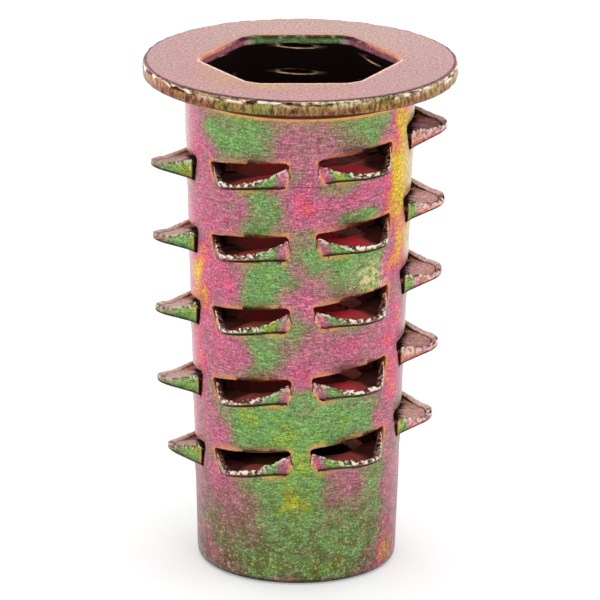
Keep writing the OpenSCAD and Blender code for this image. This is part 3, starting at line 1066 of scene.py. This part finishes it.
def grain_layer(n, colour):
    """Grain that lies round the sleeve, and finer dust where it is pale."""
    shade = n.spread(n.speck, 0.32, 0.68, 0.6, 1.26)
    shade = n.times(shade, n.spread(n.grain, 0.3, 0.7, 0.66, 1.28))
    shade = n.times(shade, n.spread(n.noise(n.lying, 16, 2, 0.6), 0.32, 0.68, 0.68, 1.3))
    dust = n.spread(n.noise(n.mm, 7, 4, 0.85), 0.36, 0.64, 0.62, 1.36)
    shade = n.times(shade, n.minus(1, n.pale))
    return n.darken(colour, n.plus(shade, n.times(dust, n.pale)))


def stain_layer(n, colour):
    """Brown stain and pale specks, most of them low down."""
    lower = n.spread(n.z, 7.5, 0.5)
    stain = n.spread(n.noise(n.mm, 1.7, 2, 0.5), 0.38, 0.62, 0.15, 0.95)
    colour = n.blend(n.times(n.times(lower, stain), 0.68), colour, STAIN)
    dots = n.spread(n.noise(n.mm, 7.5, 1, 0.5), 0.6, 0.66)
    return n.blend(n.times(n.times(dots, lower), 0.5), colour, PALE_DOTS)


def rim_layer(n, colour):
    """The flange's rim with its upright shear marks, and a painted highlight where it is pale."""
    shear = n.noise(n.stretch(n.mm, (1, 1, 0.35)), 6, 4, 0.75)
    patches = n.spread(n.noise(n.mm, 1.1, 2, 0.6), 0.42, 0.56)
    tan = n.blend(patches, RIM_OLIVE, RIM_TAN)
    tan = n.blend(n.times(n.cream, 0.8), tan, RIM_RED)
    tan = n.blend(n.times(n.pale, 0.8), tan, RIM_HIGHLIGHT)
    tan = n.darken(tan, n.spread(shear, 0.36, 0.62, 0.22, 1.45))
    return n.blend(n.times(n.rim, 0.95), colour, tan)


def damage_layer(n, colour):
    """A patch where the film has failed, and a hairline scratch."""
    away = n.add("VectorMath", {0: n.mm, 1: FAILED_PATCH}, operation="DISTANCE")
    near = n.spread(away.outputs["Value"], 1.7, 0.4, 0, 0.85)
    failed = n.blend(n.spread(n.speck, 0.4, 0.6), FAILED_TAN, FAILED_PALE)
    colour = n.blend(n.times(near, n.spread(n.mottle, 0.44, 0.6), True), colour, failed)
    off = n.math("ABSOLUTE", n.minus(n.z, SCRATCH_Z), 0)
    along = n.math("ABSOLUTE", n.minus(n.x, SCRATCH_X), 0)
    scratch = n.times(n.spread(off, 0.05, 0.02), n.spread(along, 1, 0.7))
    scratch = n.times(scratch, n.spread(n.y, 0, -1))
    return n.blend(n.times(scratch, 0.6), colour, SCRATCH)


def edge_layer(n, colour):
    """Bent and sheared edges, orange with painted highlights, and torn raw metal."""
    edge = n.times(n.edge, n.spread(n.mottle, 0.35, 0.65, 0.55, 1.1), True)
    colour = n.blend(n.times(edge, 0.9), colour, EDGE_HIGHLIGHT)
    tear = n.noise(n.mm, 5.5, 1, 0.5)
    streak = n.noise(n.stretch(n.mm, (0.3, 0.3, 1)), 5, 2, 0.6)
    tear = n.add("Mix", {0: n.rim, 2: tear, 3: streak}).outputs[0]
    torn = n.blend(n.spread(tear, 0.43, 0.48), TORN_DARK, TORN_BROWN)
    torn = n.blend(n.spread(tear, 0.51, 0.57), torn, TORN_WHITE)
    return n.blend(n.times(n.raw, 0.9, True), colour, torn)


def dark_layer(n, colour):
    """Painted shade in creases, and the painted dark of hollows and bore with its painted red glow.
    """
    grime = n.times(n.grime, n.spread(n.mottle, 0.3, 0.6, 0.6, 1.1), True)
    colour = n.blend(n.times(grime, 0.92), colour, SHADE_DARK)
    wine = n.times(n.wine, n.spread(n.cloud, 0.35, 0.62, 0.7, 1))
    deep = n.blend(n.spread(wine, 0, 0.5), DEEP_DARK, DEEP_BROWN)
    deep = n.blend(n.spread(wine, 0.5, 0.9), deep, DEEP_RED)
    return n.blend(n.inside, colour, deep)


LAYERS = (pale_layer, grain_layer, stain_layer, rim_layer, damage_layer, edge_layer, dark_layer)


def make_plating():
    steel = bpy.data.materials.new("plated_steel")
    steel.use_nodes = True
    n = Plating(steel.node_tree)
    colour = film_layer(n)
    for layer in LAYERS:
        colour = layer(n, colour)
    dull = n.math("MINIMUM", n.math("MAXIMUM", n.matt, n.inside), 1)
    rough = n.plus(n.spread(n.grain, 0.3, 0.7, 0.3, 0.44), n.times(n.raw, 0.12))
    height = n.plus(n.times(n.grain, 0.7), n.times(n.speck, 0.5))
    bump = n.add("Bump", {"Strength": 0.5, "Distance": 0.02 * MM, "Height": height})
    looks = {
        "Base Color": colour,
        "Metallic": n.minus(1, dull, True),
        "Specular IOR Level": n.spread(n.inside, 0, 1, 0.5, 0.05),
        "Roughness": n.plus(rough, n.times(dull, 0.5), True),
        "Normal": bump.outputs["Normal"],
    }
    feed(n.tree.nodes["Principled BSDF"], looks)
    return steel


# ---- studio
FLOOR_GLOW = 0.3
WORLD_STRENGTH = 0.8
# Azimuth, elevation, distance, size and power. Azimuth 0 is at the front.
LAMPS = {
    "left": (-140, 15, 160, (110, 160), 0.08),
    "right": (140, 15, 160, (110, 160), 0.055),
    "top": (20, 75, 200, (140, 140), 0.1),
}


def make_floor():
    bpy.ops.mesh.primitive_plane_add(size=4, location=(0, 0, -0.02 * MM))
    floor = bpy.context.object
    floor.name = "floor"
    paint = bpy.data.materials.new("floor")
    paint.use_nodes = True
    n = Nodes(paint.node_tree)
    ray = n.add("LightPath").outputs
    seen = n.plus(ray["Is Camera Ray"], ray["Is Glossy Ray"])
    seen = n.plus(seen, ray["Is Transmission Ray"], True)
    looks = {
        "Base Color": (0.8, 0.8, 0.8, 1),
        "Roughness": 0.9,
        "Emission Color": (1, 1, 1, 1),
        "Emission Strength": n.times(seen, FLOOR_GLOW),
    }
    feed(n.tree.nodes["Principled BSDF"], looks)
    floor.data.materials.append(paint)


def make_lamp(name, azimuth, elevation, distance, size, power):
    """Soft lamp that faces the middle of the sleeve."""
    turn = FRONT + math.radians(azimuth)
    rise = math.radians(elevation)
    way = Vector((math.cos(turn) * math.cos(rise), math.sin(turn) * math.cos(rise), math.sin(rise)))
    data = bpy.data.lights.new(name, "AREA")
    data.shape = "RECTANGLE"
    data.size, data.size_y = size[0] * MM, size[1] * MM
    data.energy = power
    lamp = bpy.data.objects.new(name, data)
    lamp.location = Vector((0, 0, OVERALL_H / 2 * MM)) + way * distance * MM
    lamp.rotation_euler = (-way).to_track_quat("-Z", "Y").to_euler()
    scene.collection.objects.link(lamp)


def make_world():
    world = bpy.data.worlds.new("studio")
    scene.world = world
    world.use_nodes = True
    sky = {"Color": (1, 1, 1, 1), "Strength": WORLD_STRENGTH}
    feed(world.node_tree.nodes["Background"], sky)


make_camera()
insert = make_insert()
insert.data.materials.clear()
insert.data.materials.append(make_plating())
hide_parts("insert_sleeve")
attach(insert, "root")
make_floor()
make_world()
for lamp_name, lamp_form in LAMPS.items():
    make_lamp(lamp_name, *lamp_form)
scene.view_settings.view_transform = "Standard"
